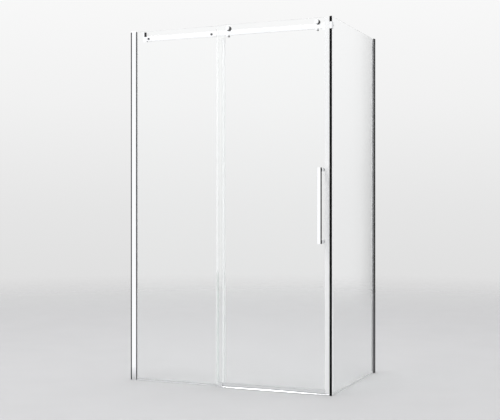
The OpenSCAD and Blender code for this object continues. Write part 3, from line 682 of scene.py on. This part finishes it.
stainless_turned = turned_metal(
    "turned_stainless", (0.58, 0.585, 0.59), (0.68, 0.685, 0.69), rough=(0.16, 0.3), depth=0.12
)
chrome_turned = turned_metal("turned_chrome", (0.86, 0.87, 0.88), (0.93, 0.935, 0.94), rough=(0.03, 0.1))
dress(stainless_turned, "front_lock_screws", "side_lock_screws")
lock_screws = 3
cover_r, cover_h = 0.006, 0.004
cover_foot = 0.0002
cover_rim = ((0, 0.0014), (0.0003, 0.0008), (0.0009, 0.0003), (0.0022, 0.00008))
pocket_r, pocket_h = 0.0043, 0.0027
for side, across, facing in (("front", 1, (0, 1, 0)), ("side", 0, (-1, 0, 0))):
    low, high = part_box(f"{side}_lock_covers")
    seat = (low + high) / 2
    seat[across] = low[across] if side == "front" else high[across]
    seat.z = low.z + cover_r
    step = Vector((0, 0, (high.z - low.z - 2 * cover_r) / (lock_screws - 1)))
    cover = turned(f"{side}_lock_cover", [
        (0, pocket_h), (pocket_r, pocket_h), (pocket_r, 0.0), (cover_r - cover_foot, 0.0),
        (cover_r, cover_foot), *rim_rows(cover_r, cover_h, cover_rim), (0, cover_h),
    ], facing, sides=48)
    row_of(
        f"{side}_snap_covers", cover, lock_screws, seat, step, chrome_turned, "chrome",
        f"{side}_lock_covers",
    )

# Glass of the two fixed panes and the door
# Clear low-iron toughened glass 8 mm thick, with ground and polished edges. The fixed pane stands in
# the front channel and carries the rail, and the side pane stands in the rear channel and ends the
# corner. The door pane hangs from the rail on its two rollers.


def clear_glass(name):
    """Toughened glass: nearly colourless through its faces, finely ground on its edges, faintly wiped."""
    edge_rough = 0.85
    film_rough = 0.03
    paint, tree, shader = new_finish(
        name, Base_Color=(0.995, 0.998, 0.997, 1), Transmission_Weight=1.0, IOR=1.5, Specular_IOR_Level=0.5
    )
    touched = use_group(tree, wiped, Size=2.3, Amount=0.8)["Mark"]
    film = ranged(tree, touched, 0.0, film_rough, start=0.1, stop=0.6)
    frosted = maths(tree, "MULTIPLY", attribute_of(tree, "ground_edge"), edge_rough)
    spot = put(tree, "ShaderNodeTexCoord").outputs["Object"]
    wave = put(tree, "ShaderNodeTexNoise", Vector=spot, Scale=2.2, Detail=1.0)
    roller_wave = put(tree, "ShaderNodeBump", Strength=0.05, Distance=0.002, Height=wave.outputs["Fac"])
    set_inputs(
        tree, shader, Roughness=maths(tree, "ADD", film, frosted), Normal=roller_wave.outputs["Normal"]
    )
    lamp_pass = put(tree, "ShaderNodeBsdfTransparent", Color=(0.97, 0.98, 0.977, 1))
    for_lamps = put(tree, "ShaderNodeLightPath").outputs["Is Shadow Ray"]
    body = put(tree, "ShaderNodeVolumeAbsorption", Color=(0.78, 0.93, 0.88, 1), Density=1.6)
    set_inputs(
        tree, tree.nodes["Material Output"], Volume=body.outputs[0],
        Surface=shader_mix(tree, for_lamps, shader.outputs[0], lamp_pass.outputs[0]),
    )
    return paint


pane_glass = clear_glass("clear_toughened_glass")
broad_side = 0.99
for name, node, through in (
    ("fixed_pane", "fixed_glass", 1), ("side_pane", "side_glass", 0), ("door_pane", "door_glass", 1)
):
    pane = eased(name, node, pane_glass, "glass", width=0.0004, steps=1)
    mark_faces(pane.data, "ground_edge", lambda face: abs(face.normal[through]) <= broad_side)

# Clear seals of the fixed panes
# Translucent soft vinyl extrusions: a lip that clips on the free edge of the fixed pane and leans
# towards the door, and the strips that close the slots under both fixed panes. Legs are stiffer and
# whiter than the thin lips.


def vinyl_finish(name, low, high, stretch, through, rough, lip_body=None):
    """Extruded vinyl with fine lines along its length. Lip body is how much light a thin lip stops."""
    paint, tree, shader = new_finish(name, Transmission_Weight=through, IOR=1.4, Specular_IOR_Level=0.4)
    if lip_body is not None:
        body = ranged(tree, attribute_of(tree, "thin_lip"), 1.0, lip_body, start=0.0, stop=1.0)
        behind = put(tree, "ShaderNodeNewGeometry").outputs["Backfacing"]
        in_sight = maths(tree, "SUBTRACT", 1.0, behind)
        set_inputs(tree, shader, Alpha=maths(tree, "MULTIPLY", body, in_sight))
    drawn = use_group(tree, die_lines, Stretch=stretch, Depth=0.1)
    set_inputs(
        tree, shader, Base_Color=tinted(tree, drawn["Streak"], low, high),
        Roughness=ranged(tree, drawn["Streak"], *rough), Normal=drawn["Normal"],
    )
    return paint


clear_vinyl_upright = vinyl_finish(
    "clear_vinyl_upright", (0.93, 0.935, 0.935), (0.97, 0.975, 0.975), stretch=(600, 600, 4),
    through=0.0, rough=(0.3, 0.45), lip_body=0.2,
)
clear_vinyl_level = vinyl_finish(
    "clear_vinyl_level", (0.90, 0.915, 0.92), (0.97, 0.975, 0.98), stretch=(4, 4, 600),
    through=0.35, rough=(0.22, 0.4),
)
clear_plastic = vinyl_finish(
    "clear_moulded_plastic", (0.88, 0.89, 0.90), (0.95, 0.955, 0.96), stretch=(500, 500, 500),
    through=0.4, rough=(0.2, 0.35),
)
leg_in_front = 0.002
leg_short_of_back = 0.001


def lipped_seal(name, node, glass, leg_thinness):
    """An upright seal on a pane's edge. Its lip and its back leg are clearer than its front leg."""
    low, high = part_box(glass)
    front = low.y - leg_in_front
    back = high.y - leg_short_of_back
    strip = eased(name, node, clear_vinyl_upright, "clear_seal", width=0.0002, steps=1)
    mark_faces(
        strip.data, "thin_lip", lambda face: leg_thinness if front < face.center.y < back else 1.0
    )


lipped_seal("fixed_edge_lip_seal", "fixed_edge_seal", "fixed_glass", leg_thinness=0.0)
dress(clear_vinyl_level, "fixed_bottom_seal", "side_bottom_seal")

# Rail and the fixings that carry it
# A flat bar of chromed steel, polished but for a satin underside that is painted darker as painted shade,
# bolted through two holes in the fixed pane. Each bolt passes a tube spacer and a clear bush in the glass,
# and a domed cap nut closes it on the inside.
# The darker tones of the rail's underside are painted shade.
rail_chrome = metal_with_painted_shade(
    "chrome_plate_level", ((0.88, 0.89, 0.90), (0.95, 0.955, 0.96)),
    ((0.50, 0.505, 0.51), (0.58, 0.585, 0.59)), rough=0.04, dull_rough=0.12, stretch=(3, 500, 500),
)
facing_down = -0.9
rail_bar = eased("rail_bar", "rail", rail_chrome, "chrome", width=0.0005)
mark_faces(rail_bar.data, "shaded_side", lambda face: face.normal.z < facing_down)
dress(clear_plastic, "rail_glass_bushes")


def centre_of(node):
    """The middle of a CAD piece's box."""
    low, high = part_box(node)
    return (low + high) / 2


def hex_socket(width, along, depth, drilled):
    """Rows of a hexagonal socket in a flat face, from its middle, drilled deeper, to its eased mouth."""
    mouth_h, mouth_w = 0.0002, 0.0004
    return [
        (0, along - depth - drilled), (width, along - depth, "hex"), (width, along - mouth_h, "hex"),
        (width + mouth_w, along),
    ]


def chamfered_end(radius, along, size):
    """Rows of a shank's chamfered end."""
    return [(radius, along + size), (radius - size, along), (0, along)]


def tube_rows(bore_r, outer_r, length, chamfer):
    """Rows of a straight tube with its outer edges chamfered."""
    return [
        (bore_r, 0), (outer_r - chamfer, 0), (outer_r, chamfer), (outer_r, length - chamfer),
        (outer_r - chamfer, length), (bore_r, length), (bore_r, 0),
    ]


bolt_low, bolt_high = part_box("rail_bolts")
rail_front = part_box("rail")[0].y
head_r, head_h, shank_r = 0.0065, 0.0025, 0.004
shank_l = bolt_high.y - rail_front
bolt_step = Vector((bolt_high.x - bolt_low.x - 2 * head_r, 0, 0))
bolt_x = bolt_low.x + head_r
bolt_z = centre_of("rail").z
button_rim = ((0.0014, 0), (0.0006, 0.0002), (0.0001, 0.0008), (0, 0.0014))
bolt = turned("rail_bolt", [
    *hex_socket(width=0.0022, along=head_h, depth=0.0018, drilled=0.0003),
    *rim_rows(head_r, head_h, button_rim), (head_r, 0.0), (shank_r, 0.0),
    *chamfered_end(shank_r, -shank_l, size=0.0006),
], (0, -1, 0))
# The bolt heads are painted near-black as painted shade, for the dark their chrome mirrors.
painted_dark_chrome = turned_metal(
    "socket_head_painted_shade", (0.10, 0.10, 0.105), (0.2, 0.2, 0.21), rough=(0.14, 0.3)
)
row_of(
    "rail_bolt_pair", bolt, 2, (bolt_x, rail_front, bolt_z), bolt_step, painted_dark_chrome, "chrome", "rail_bolts"
)
tube_low, tube_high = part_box("rail_spacers")
tube_r = (tube_high.z - tube_low.z) / 2
tube = turned("rail_spacer", tube_rows(shank_r, tube_r, tube_high.y - tube_low.y, 0.0004), (0, 1, 0))
row_of(
    "rail_spacer_pair", tube, 2, (bolt_x, tube_low.y, bolt_z), bolt_step, chrome_turned, "chrome",
    "rail_spacers",
)
nut_low, nut_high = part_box("rail_cap_nuts")
nut_r, nut_h = (nut_high.z - nut_low.z) / 2, nut_high.y - nut_low.y
nut_foot = 0.0005
dome_rim = ((0, 0.0026), (0.0004, 0.0015), (0.0014, 0.0007), (0.0035, 0.0002))
groove_r, groove_w, groove_d = 0.0042, 0.0006, 0.0006
outer_drop, inner_drop = 0.00005, 0.0002
nut = turned("rail_cap_nut", [
    (0, nut_h / 2), (shank_r, nut_h / 2), (shank_r, 0), (nut_r - nut_foot, 0), (nut_r, nut_foot),
    *rim_rows(nut_r, nut_h, dome_rim), (groove_r + groove_w, nut_h - outer_drop),
    (groove_r, nut_h - groove_d), (groove_r - groove_w, nut_h - inner_drop), (0, nut_h),
], (0, 1, 0))
row_of(
    "rail_cap_nut_pair", nut, 2, (bolt_x, nut_low.y, bolt_z), bolt_step, chrome_turned, "chrome",
    "rail_cap_nuts",
)

# End stop of the rail
# A chromed block slid over the rail's free end and held by a grub screw from below. Its upstand
# carries a black rubber bumper that meets the left wheel when the door is fully open.
chrome_block = metal(
    "chrome_plate_block", (0.87, 0.88, 0.89), (0.94, 0.945, 0.95), rough=(0.03, 0.12),
    stretch=(120, 120, 120), depth=0.02,
)
black_rubber = rubber_finish("black_rubber", (0.012, 0.012, 0.013), (0.028, 0.028, 0.029), (0.5, 0.75))
eased("end_stop_block", "rail_end_stop", chrome_block, "chrome", width=0.0006)
eased("end_stop_rubber", "end_stop_bumper", black_rubber, "rubber", width=0.0014, steps=3)
dress(stainless_turned, "end_stop_grub_screw")

# Corner connector
# A machined and chromed block that takes the rail's end and wraps the front edge of the side pane.
# A countersunk bolt through the glass draws it tight on two clear liners.
eased("corner_block", "corner_connector", chrome_block, "chrome", width=0.0006)
dress(stainless_turned, "connector_bolt", "connector_grub_screw")
dress(clear_plastic, "connector_liners")

# Black edge profile of the side pane
# A black vinyl extrusion with a clear outer leg that grips the front edge of the side pane, above and
# below the connector. A flexible magnetic strip is pressed into its groove and faces the door. The
# profile stands as two closed pieces that meet where its colour changes.
black_upright, tree, shader = new_finish("black_vinyl_upright", Specular_IOR_Level=0.06)
drawn = use_group(tree, die_lines, Stretch=(700, 700, 3), Depth=0.12)
black_tone = tinted(tree, drawn["Streak"], (0.002, 0.002, 0.0021), (0.005, 0.005, 0.0052))
black_rough = ranged(tree, drawn["Streak"], 0.45, 0.6)
set_inputs(tree, shader, Base_Color=black_tone, Roughness=black_rough, Normal=drawn["Normal"])
glass_low, glass_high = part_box("side_glass")
seam_ahead = 0.0004
seam_y = glass_low.y - seam_ahead
seam_x = (glass_low.x + glass_high.x) / 2


def cut_faces(work, at, across):
    """Cuts a solid's faces where a plane crosses them, so that two finishes can meet there."""
    bmesh.ops.bisect_plane(
        work, geom=[*work.verts, *work.edges, *work.faces], dist=1e-7, plane_co=at, plane_no=across
    )


def profile_part(name, outer_leg):
    """The clear outer leg of the edge profile, or all the rest of it, closed where they are joined."""
    work = solid_of("side_edge_profiles")
    cut_faces(work, (seam_x, 0, 0), (1, 0, 0))
    cut_faces(work, (0, seam_y, 0), (0, 1, 0))
    unwanted = []
    for face in work.faces:
        middle = face.calc_center_median()
        if (middle.x > seam_x and middle.y > seam_y) != outer_leg:
            unwanted.append(face)
    bmesh.ops.delete(work, geom=unwanted, context="FACES")
    bmesh.ops.holes_fill(work, edges=[edge for edge in work.edges if len(edge.link_faces) == 1], sides=0)
    bmesh.ops.recalc_face_normals(work, faces=work.faces)
    join_flat_faces(work)
    return edges_eased(name, work, width=0.0004)


for name, outer_leg, finish, slot in (
    ("black_edge_profile", False, black_upright, "black_profile"),
    ("edge_profile_clear_leg", True, clear_vinyl_upright, "clear_seal"),
):
    stand_in(name, profile_part(name, outer_leg), finish, slot, "side_edge_profiles")
magnet_finish = rubber_finish(
    "magnet_strip", (0.03, 0.026, 0.026), (0.06, 0.052, 0.05), rough=(0.5, 0.7), grain=1500
)
dress(magnet_finish, "side_magnet_strips")

# Threshold and bottom guide
# The threshold is a low polished aluminium extrusion on the floor with a rib behind the door.
# The guide block at the fixed pane's free edge holds the pane and keeps the door's foot in line.
bright_level = metal(
    "bright_anodised_level", (0.82, 0.83, 0.84), (0.92, 0.925, 0.93), rough=(0.06, 0.18),
    stretch=(2, 600, 600), depth=0.05, anodic=0.25,
)
eased("threshold_bar", "threshold", bright_level, "polished_aluminium", width=0.0003)
eased("guide_block", "bottom_guide", chrome_block, "chrome", width=0.0007)
nylon_finish = rubber_finish(
    "black_nylon", (0.004, 0.004, 0.0042), (0.010, 0.010, 0.0105), rough=(0.4, 0.6), grain=700
)
dress(nylon_finish, "guide_pads")
dress(stainless_turned, "guide_grub_screw")

# Seals of the door
# The closing edge carries a milky vinyl chamber with a magnetic strip in its tip. The other edge has
# a clear lip that leans towards the fixed pane, and the foot has a clear sweep with a soft fin.
milky_vinyl = vinyl_finish(
    "milky_vinyl_upright", (0.82, 0.825, 0.825), (0.88, 0.885, 0.885), stretch=(600, 600, 4),
    through=0.05, rough=(0.3, 0.45),
)
dress(milky_vinyl, "door_magnet_seal")
dress(magnet_finish, "door_magnet_strip")
lipped_seal("door_edge_lip_seal", "door_edge_seal", "door_glass", leg_thinness=0.55)
dress(clear_vinyl_level, "door_sweep")

# Handle
# A vertical bar with a post at each end, one chromed piece whose bar flanks are rougher and painted
# dark as painted shade, clamped through two holes in the door by bolts whose low round caps sit on the
# inside. Clear washers keep the metal off the glass.
# The near-black tones of the bar's flanks are painted shade.
handle_chrome = metal_with_painted_shade(
    "handle_chrome", ((0.87, 0.88, 0.89), (0.95, 0.955, 0.96)),
    ((0.03, 0.0302, 0.031), (0.05, 0.0503, 0.051)), rough=0.04, dull_rough=0.09,
    stretch=(500, 500, 3), glancing=0.4,
)
bar_depth = 0.022
bar_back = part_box("handle")[0].y + bar_depth
work = solid_of("handle")
cut_faces(work, (0, bar_back, 0), (0, 1, 0))
grip = edges_eased("pull_handle", work, width=0.0008, steps=3)
flank_turn = 0.8
# Only the bar's flanks get the painted shade.
mark_faces(
    grip, "shaded_side", lambda face: abs(face.normal.x) > flank_turn and face.center.y < bar_back
)
stand_in("pull_handle", grip, handle_chrome, "chrome", "handle")
dress(clear_plastic, "handle_washers")
cap_low, cap_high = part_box("handle_bolts")
bolt_r, cap_r, cap_h = 0.003, (cap_high.x - cap_low.x) / 2, 0.004
cap_foot = 0.0003
cap_rim = ((0.0018, 0.0001), (0.0008, 0.0004), (0.0002, 0.001), (0, 0.0018))
cap_seat = cap_high.y - cap_h
grip_bolt = turned("handle_bolt", [
    *hex_socket(width=0.002, along=cap_h, depth=0.0014, drilled=0.0002),
    *rim_rows(cap_r, cap_h, cap_rim), (cap_r, cap_foot), (cap_r - cap_foot, 0), (bolt_r, 0),
    *chamfered_end(bolt_r, cap_low.y - cap_seat, size=0.0005),
], (0, 1, 0))
row_of(
    "handle_bolt_pair", grip_bolt, 2, ((cap_low.x + cap_high.x) / 2, cap_seat, cap_low.z + cap_r),
    (0, 0, cap_high.z - cap_low.z - 2 * cap_r), stainless_turned, "stainless", "handle_bolts",
)

# Rollers
# Each roller hangs the door on the rail's top edge. A chromed axle with a round cap passes a clear
# bush in the glass, a nut clamps it, and a flanged nylon wheel turns on a ball bearing behind.
axle_low, axle_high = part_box("roller_axles")
wheel_at = {side: centre_of(f"{side}_wheel") for side in ("left", "right")}
cap_r, cap_h, cap_foot = (axle_high.z - axle_low.z) / 2, 0.006, 0.0004
cap_rim = ((0.0012, 0), (0.0005, 0.0002), (0.0001, 0.0007), (0, 0.0012))
face_sunk = 0.0002
groove_r, groove_w, groove_d, groove_slope = 0.0088, 0.0005, 0.0006, 0.0003
seat_r, seat_l, shaft_r = 0.005, 0.010, 0.004
screw_r, screw_l = 0.002, 0.008
cap_seat = axle_low.y + cap_h
shaft_l = axle_high.y - cap_seat
roller_chrome = turned_metal(
    "roller_cap_chrome", (0.86, 0.87, 0.88), (0.93, 0.935, 0.94), rough=(0.04, 0.12), rings=3200.0
)
axle = turned("roller_axle", [
    (0, cap_h - face_sunk), (groove_r - groove_slope, cap_h - face_sunk), (groove_r, cap_h - groove_d),
    (groove_r + groove_w, cap_h - groove_d), (groove_r + groove_w + groove_slope, cap_h),
    *rim_rows(cap_r, cap_h, cap_rim), (cap_r, cap_foot), (cap_r - cap_foot, 0), (seat_r, 0),
    (seat_r, -seat_l), (shaft_r, -seat_l), *chamfered_end(shaft_r, -shaft_l, size=0.0004)[:-1],
    (screw_r, -shaft_l), (screw_r, screw_l - shaft_l), (0, screw_l - shaft_l),
], (0, -1, 0), sides=72)
roller_step = Vector((wheel_at["right"].x - wheel_at["left"].x, 0, 0))
row_of(
    "roller_axle_pair", axle, 2, (wheel_at["left"].x, cap_seat, wheel_at["left"].z), roller_step,
    roller_chrome, "chrome", "roller_axles",
)
dress(clear_plastic, "roller_bushes")
dress(stainless_turned, "roller_hub_nuts", "roller_inner_rings", "roller_end_screws")
steel_ring = turned_metal(
    "ground_bearing_steel", (0.55, 0.56, 0.57), (0.68, 0.69, 0.7), rough=(0.15, 0.28)
)
flange_r, tread_r, bearing_r, lip_r = 0.0125, 0.0105, 0.008, 0.0073
wheel_half, tread_half, seat_half = 0.008, 0.0055, 0.0035
flange_fillet = 0.0004
flange_rim = ((0, 0.001), (0.0004, 0.0003), (0.0012, 0))
front_half = [
    (tread_r, tread_half - 0.0003), (tread_r + flange_fillet, tread_half + 0.0001),
    (flange_r - flange_fillet, tread_half + 0.0005), (flange_r, tread_half + 0.0011),
    *rim_rows(flange_r, wheel_half, flange_rim), (lip_r, wheel_half), (lip_r, seat_half),
    (bearing_r, seat_half),
]
back_half = [(radius, -along) for radius, along in front_half]
for side in ("left", "right"):
    rows = [*front_half, *reversed(back_half), front_half[0]]
    wheel = turned(f"{side}_wheel_turned", rows, (0, -1, 0), sides=72)
    wheel.transform(Matrix.Translation(wheel_at[side]))
    stand_in(f"{side}_nylon_wheel", shaded(wheel), nylon_finish, "nylon", f"{side}_wheel")
    dress(steel_ring, f"{side}_wheel_bearing")

# Anti-lift pins
# Below the rail two chromed pins cross the door glass in clear bushes. Black rubber sleeves on them
# stay just under the rail's edge, so the door cannot be lifted off.
pin_low, pin_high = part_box("anti_lift_bolts")
pin_cap_r, pin_cap_h, pin_r = (pin_high.z - pin_low.z) / 2, 0.004, 0.003
pin_foot = 0.0003
pin_seat = pin_low.y + pin_cap_h
pin_l = pin_high.y - pin_seat
pin = turned("anti_lift_pin", [
    (0, pin_cap_h), *rim_rows(pin_cap_r, pin_cap_h, button_rim), (pin_cap_r, pin_foot),
    (pin_cap_r - pin_foot, 0), (pin_r, 0), *chamfered_end(pin_r, -pin_l, size=0.0004),
], (0, -1, 0), sides=48)
pin_x, pin_z = wheel_at["left"].x, (pin_low.z + pin_high.z) / 2
row_of(
    "anti_lift_pin_pair", pin, 2, (pin_x, pin_seat, pin_z), roller_step, chrome_turned, "chrome",
    "anti_lift_bolts",
)
sleeve_low, sleeve_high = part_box("anti_lift_sleeves")
sleeve_r, sleeve_l = (sleeve_high.z - sleeve_low.z) / 2, sleeve_high.y - sleeve_low.y
sleeve = turned("anti_lift_sleeve", tube_rows(pin_r, sleeve_r, sleeve_l, 0.0006), (0, 1, 0), sides=48)
row_of(
    "anti_lift_sleeve_pair", sleeve, 2, (pin_x, sleeve_low.y, pin_z), roller_step, black_rubber, "rubber",
    "anti_lift_sleeves",
)
dress(clear_plastic, "anti_lift_bushes")
